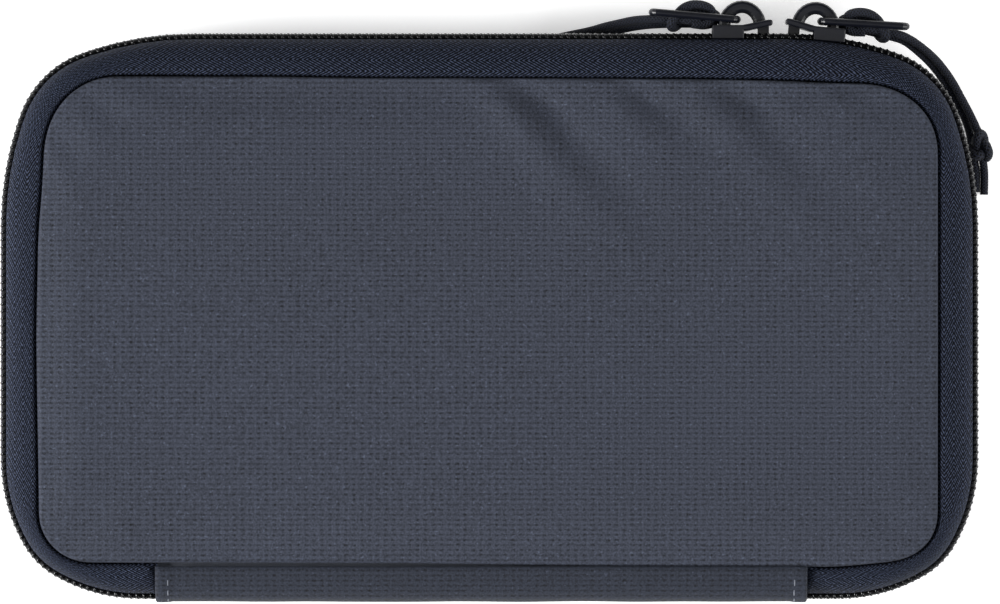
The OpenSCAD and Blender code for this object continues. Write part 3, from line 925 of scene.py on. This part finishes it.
# Where the skin is drawn down towards the top seam: [from x, to x, distance from the seam, depth].
TOP_DIP = (-64, 2, 9, 1.3)


def fold_depth(x, from_top):
    """Each fold falls away on its right side. The dip lowers a stretch beside the seam."""
    total = 0.0
    for start, end, reach, width, depth in TOP_FOLDS:
        share = from_top / (reach * MM)
        if share < 1.6:
            middle = (start + (end - start) * share) * MM
            across = (x - middle) / (width * (1 + 0.4 * share) * MM)
            fade = max(0.0, 1 - share / 1.6) ** 1.3
            total += depth * MM * fade * across * math.exp(0.5 - across ** 2 / 2)
    left, right, reach, depth = TOP_DIP
    along = min(1.0, max(0.0, min(x / MM - left, right - x / MM) / 12))
    return total + depth * MM * along * math.exp(-from_top / (reach * MM) * 1.5)


def shape_panel(piece, seed):
    """Puckers that fade inwards from the seam, and a slow unevenness over the padding."""
    half_w, half_h = PANEL_W / 2, PANEL_H / 2
    rows = []
    for vertex in piece.data.vertices:
        x, y, z = vertex.co
        from_top = half_h - (y - PANEL_Y)
        from_low = half_h + (y - PANEL_Y)
        from_side = half_w - abs(x)
        pull = 0.0
        for gap, place in ((from_top, x), (from_low, x + 0.5), (from_side, y + (1.0 if x > 0 else 1.5))):
            fold = noise.noise(Vector((place * 95, seed * 5.7, gap * 22)))
            pull += fold * math.exp(-gap / (8 * MM)) * min(1.0, gap / (2 * MM))
        slow = noise.noise(Vector((x * 17, y * 21, seed * 2.3)))
        top = min(1.0, max(0.0, (z - (CASE_T - 1.4 * MM)) / (0.8 * MM)))
        seam = min(1.0, max(0.0, from_top / (2 * MM)))
        folds = fold_depth(x if seed == 1 else -x, from_top) * seam
        offset = 0.35 * MM * pull + 0.25 * MM * slow - folds
        rows.append((x, y, z + top * offset))
    move_points(piece, np.array(rows))


panel("front_cushion", True, "front_shell", ("front_panel", "front_foam"), 1)
panel("back_cushion", False, "back_shell", ("back_panel", "back_foam"), 2)


# ---- Spine ----

HEM = 2.6 * MM
STITCH_STEP = 2.75 * MM
STITCH_LENGTH = 2.2 * MM
STITCH_START = 0.8 * MM


def spine_profile(steps):
    """[distance in from the spine edge, height] from the back panel's seam to the front panel's."""
    edge = (CASE_H - PANEL_H) / 2 + PANEL_Y
    rise = CASE_T - 1.1 * MM - FOLD_HIGH_Z
    rows = []
    for k in range(steps + 1):
        a = math.pi / 2 * (1 - k / steps)
        rows.append((edge * (1 - math.cos(a)), CASE_T - FOLD_HIGH_Z - rise * math.sin(a)))
    for z in np.linspace(FOLD_LOW_Z, FOLD_HIGH_Z, 9)[1:-1]:
        rows.append((0.0, float(z)))
    rows += [(inset, CASE_T - z) for inset, z in rows[steps::-1]]
    return np.array(rows)


def profile_between(low, high):
    profile = spine_profile(10)
    return profile[(profile[:, 1] >= low - 1e-6) & (profile[:, 1] <= high + 1e-6)]


def spine_strip(name, z_from, z_to, body, nodes):
    """Part of the fabric strip between two heights, with hemmed ends that bulge a little."""
    keep = profile_between(z_from, z_to)
    xs = np.concatenate([
        SPINE_LEFT + np.array((-0.25, 0.0, 0.5, 1.2, 2.2, 3.0, 3.6)) * MM,
        np.linspace(SPINE_LEFT + 5 * MM, SPINE_RIGHT - 5 * MM, 60),
        SPINE_RIGHT - np.array((3.6, 3.0, 2.2, 1.2, 0.5, 0.0, -0.25)) * MM,
    ])
    grid = []
    for x in xs:
        gap = min(x - SPINE_LEFT, SPINE_RIGHT - x) / MM
        hem = 0.28 * (1 - min(1.0, max(0.0, (gap - 2.6) / 1.0))) - 0.20 * math.exp(-((gap - 2.6) / 0.35) ** 2)
        hem -= 0.45 * max(0.0, -gap) / 0.25
        wave = noise.noise(Vector((x * 60, 0.3, 0.0))) * 0.22
        column = []
        for inset, z in keep:
            bow = math.sin(math.pi * z / CASE_T)
            column.append((x, -TOP_Y + inset - (hem + wave) * bow * MM, z + (hem + wave) * (1 - bow) * MM))
        grid.append(column)
    grid = np.array(grid)
    piece = surface(name, grid, xs, arc_lengths(grid[len(xs) // 2]))
    thicken(piece, 0.7 * MM)
    return finish_piece(piece, SPINE_CLOTH, body, "shell_fabric", *nodes)


spine_strip("spine_wrap_back", 0.0, FOLD_LOW_Z + 0.1 * MM, "back_shell", ["back_spine_tab"])
spine_strip("spine_wrap_middle", FOLD_LOW_Z, FOLD_HIGH_Z, "spine", ["spine_panel"])
spine_strip("spine_wrap_front", FOLD_HIGH_Z - 0.1 * MM, CASE_T, "front_shell", ["front_spine_tab"])


def spine_stitches():
    """Stitch lines across the strip, near each hemmed end."""
    parts = [
        ("back", "back_shell", profile_between(0.0, FOLD_LOW_Z)),
        ("middle", "spine", profile_between(FOLD_LOW_Z, FOLD_HIGH_Z)),
        ("front", "front_shell", profile_between(FOLD_HIGH_Z, CASE_T)),
    ]
    for end, x in (("left", SPINE_LEFT + HEM), ("right", SPINE_RIGHT - HEM)):
        for part, body, rows in parts:
            line = np.column_stack([np.full(len(rows), x), rows[:, 0] - TOP_Y, rows[:, 1]])
            line = resample(line, 0.1 * MM)
            along = arc_lengths(line)
            pieces = []
            for k in range(int((along[-1] - 0.6 * MM) / STITCH_STEP)):
                a = k * STITCH_STEP + STITCH_START
                places = np.linspace(a, a + STITCH_LENGTH, 8)
                bar = np.stack([np.interp(places, along, line[:, i]) for i in range(3)], axis=1)
                ahead = unit(bar[-1] - bar[0])
                out = np.array((0.0, -ahead[2], ahead[1]))
                bow = (np.sin(np.linspace(0, math.pi, 8)) * 0.22 + 0.20) * MM
                bar = bar + out * bow[:, None]
                bar[:, 0] += noise.noise(Vector((k * 1.7, x * 50, 0.0))) * 0.15 * MM
                pieces.append(tube(f"stitch_{end}_{part}_{k}", bar, 0.17 * MM, sides=6))
            if pieces:
                merged = join(f"stitches_{end}_{part}", pieces)
                finish_piece(merged, STITCH, body, "shell_fabric")


spine_stitches()


# ---- Inside: lining, binding, loops and pocket ----

def lining(name, front, body, node):
    """Lining bowl from the bound rim to the flat floor."""
    gap, thick, narrowing = 1.4 * MM, 0.8 * MM, 0.6 * MM
    outer_z = CASE_T - 4.2 * MM
    turns = np.linspace(0, math.pi / 2, 9)

    def level(a, inset, top):
        return (1 - math.cos(a), inset + narrowing * math.sin(a), RIM_Z + (top - RIM_Z) * math.sin(a))

    inside = [level(a, gap + thick, outer_z - thick) for a in turns]
    grid = blended(inside, True)
    rim = grid[:, -1]
    ridge = np.column_stack([np.clip(rim[:, 0], -55 * MM, 55 * MM), np.zeros(len(rim)), rim[:, 2]])
    plate = [rim + (ridge - rim) * share for share in (0.06, 0.2, 0.4, 0.6, 0.8, 1.0)]
    grid = np.concatenate([grid, np.stack(plate, axis=1)], axis=1)
    if not front:
        grid = mirror_to_back(grid)
    closed_u = closed_lengths(grid[:, 0])
    piece = surface(name, grid, closed_u, arc_lengths(grid[0]), wrap_u=True)
    thicken(piece, 0.5 * MM, -1.0 if front else 1.0)
    return finish_piece(piece, LINING, body, "lining_fabric", node)


def binding(name, front, body, node):
    """Folded grosgrain over the lining's edge."""
    section = [(1.1, -1.3), (1.3, -1.7), (1.8, -1.9), (2.3, -1.7), (2.5, -1.3), (2.5, 0.4), (2.1, 0.5),
               (1.5, 0.4), (1.1, 0.0)]
    levels = [(0.0, inset * MM, RIM_Z + z * MM) for inset, z in section]
    grid = blended(levels, True)
    if not front:
        grid = mirror_to_back(grid)[:, ::-1]
    around = closed_lengths(grid[0])
    closed_u = closed_lengths(grid[:, 0])
    piece = surface(name, grid, closed_u, around, wrap_u=True, wrap_v=True)
    return finish_piece(piece, BINDING, body, "zipper_tape", node)


lining("front_lining_cloth", True, "front_shell", "front_lining")
lining("back_lining_cloth", False, "back_shell", "back_lining")
binding("front_bound_edge", True, "front_shell", "front_binding")
binding("back_bound_edge", False, "back_shell", "back_binding")

for node, body, cloth in (("spine_lining", "spine", LINING), ("spine_stiffener", "spine", FILLER)):
    paint(frame["nodes"][node], cloth)


def elastic_loop(node):
    """Arch of ribbed elastic, sewn down at both feet, thinner than its CAD solid."""
    low, high = node_box(node)
    half, rise = (high[0] - low[0]) / 2, high[2] - low[2]
    middle_x = (high[0] + low[0]) / 2
    foot = 2.2 * MM
    chord = half - foot
    rows = [(-half, 0.35 * MM), (-chord - 0.4 * MM, 0.35 * MM)]
    for a in np.linspace(-1, 1, 23):
        rows.append((chord * a, 0.5 * MM + (rise - 0.8 * MM) * (1 - abs(a) ** 2.3)))
    rows += [(chord + 0.4 * MM, 0.35 * MM), (half, 0.35 * MM)]
    ys = np.linspace(low[1], high[1], 9)
    grid = np.array([[(middle_x + x, y, low[2] + z) for x, z in rows] for y in ys])
    piece = surface(node + "_band", grid, ys, arc_lengths(grid[0]))
    thicken(piece, 0.6 * MM)
    finish_piece(piece, ELASTIC, "back_shell", "elastic", node)
    stitches = []
    for side in (-1, 1):
        x = middle_x + side * (half - foot / 2)
        for k in range(7):
            y = low[1] + (2.0 + 3.4 * k) * MM
            line = [(x + 0.15 * side * MM * s, y + 2.4 * MM * s,
                     low[2] + (0.72 + 0.16 * math.sin(math.pi * s)) * MM) for s in np.linspace(0, 1, 6)]
            stitches.append(tube(f"{node}_{side}_{k}", line, 0.16 * MM, sides=6))
    merged = join(node + "_stitches", stitches)
    finish_piece(merged, STITCH, "back_shell", "elastic")


for name in frame["nodes"]:
    if name.startswith("elastic_"):
        elastic_loop(name)


def mesh_pocket():
    """Net with staggered round holes over the pocket, and cloth gussets at its sides."""
    low, high = node_box("mesh_pocket")
    pitch_x, pitch_y = 2.6 * MM, 2.25 * MM
    columns = int((high[0] - low[0] - 2 * MM) / pitch_x)
    rows = int((high[1] - low[1] - 1 * MM) / pitch_y)
    vertices, faces, uvs = [], [], []
    start_x = (low[0] + high[0]) / 2 - columns * pitch_x / 2
    for row in range(rows):
        for column in range(columns):
            x = start_x + (column + (0.5 if row % 2 else 0.0)) * pitch_x
            y = low[1] + 0.8 * MM + (row + 0.5) * pitch_y
            base = len(vertices)
            for radius in (1.0, 0.62):
                for k in range(6):
                    a = math.radians(60 * k + 30)
                    reach_x, reach_y = pitch_x / math.sqrt(3) * radius, pitch_y / 1.5 * radius
                    vertices.append((x + reach_x * math.cos(a), y + reach_y * math.sin(a), 0.0))
            for k in range(6):
                n = (k + 1) % 6
                faces.append((base + k, base + n, base + 6 + n, base + 6 + k))
    lowest = low[2] + 0.3 * MM
    points = np.array(vertices)
    slack = np.array([noise.noise(Vector((x * 25, y * 25, 0.0))) for x, y, z in points]) * 0.35 * MM
    points[:, 2] = lowest + slack
    for face in faces:
        uvs += [tuple(points[i, :2]) for i in face]
    net = add_mesh("pocket_net", points, faces, uvs)
    weld = net.modifiers.new("weld", "WELD")
    weld.merge_threshold = 0.05 * MM
    thicken(net, 0.35 * MM, -1.0)
    finish_piece(net, MESH, "front_shell", "pocket_mesh", "mesh_pocket")
    gussets = []
    top = high[2]
    corners = [(low[0], high[1]), (low[0], low[1]), (high[0], low[1]), (high[0], high[1])]
    for k, (a, b) in enumerate(zip(corners, corners[1:])):
        share = np.linspace(0, 1, 40)[:, None]
        line = np.array(a) * (1 - share) + np.array(b) * share
        heights = np.linspace(low[2] + 0.2 * MM, top, 5)
        grid = np.array([[(x, y, z) for z in heights] for x, y in line])
        gussets.append(surface(f"gusset_{k}", grid, arc_lengths(line), heights - heights[0]))
    wall = join("pocket_gusset", gussets)
    thicken(wall, 0.4 * MM)
    finish_piece(wall, BINDING, "front_shell", "pocket_mesh")
    return net, wall


def pocket_hem():
    """Elastic binding along the pocket's open edge, gathered in soft waves."""
    low, high = node_box("mesh_pocket_hem")
    xs = np.linspace(low[0], high[0], 120)
    middle_z = (low[2] + high[2]) / 2
    upper = [(low[1] - 0.6 * MM, 0.35), (low[1] + 0.4 * MM, 0.5), (high[1] - 0.6 * MM, 0.45)]
    section = upper + [(high[1], 0.0)] + [(y, -z) for y, z in upper[::-1]]
    grid = []
    for x in xs:
        sway = noise.noise(Vector((x * 70, 1.0, 0.0))) * 0.25 * MM
        grid.append([(x, y, middle_z + z * MM + sway) for y, z in section])
    grid = np.array(grid)
    around = closed_lengths(grid[0])
    piece = surface("pocket_hem_band", grid, xs, around, wrap_v=True, cap=True)
    return finish_piece(piece, BINDING, "front_shell", "elastic", "mesh_pocket_hem")


pocket_net, pocket_wall = mesh_pocket()
pocket_hem()


# ---- Sliders and pulls keep their CAD shape ----

for node in ("slider_left", "slider_right", "pull_left", "pull_right"):
    paint(frame["nodes"][node], METAL)
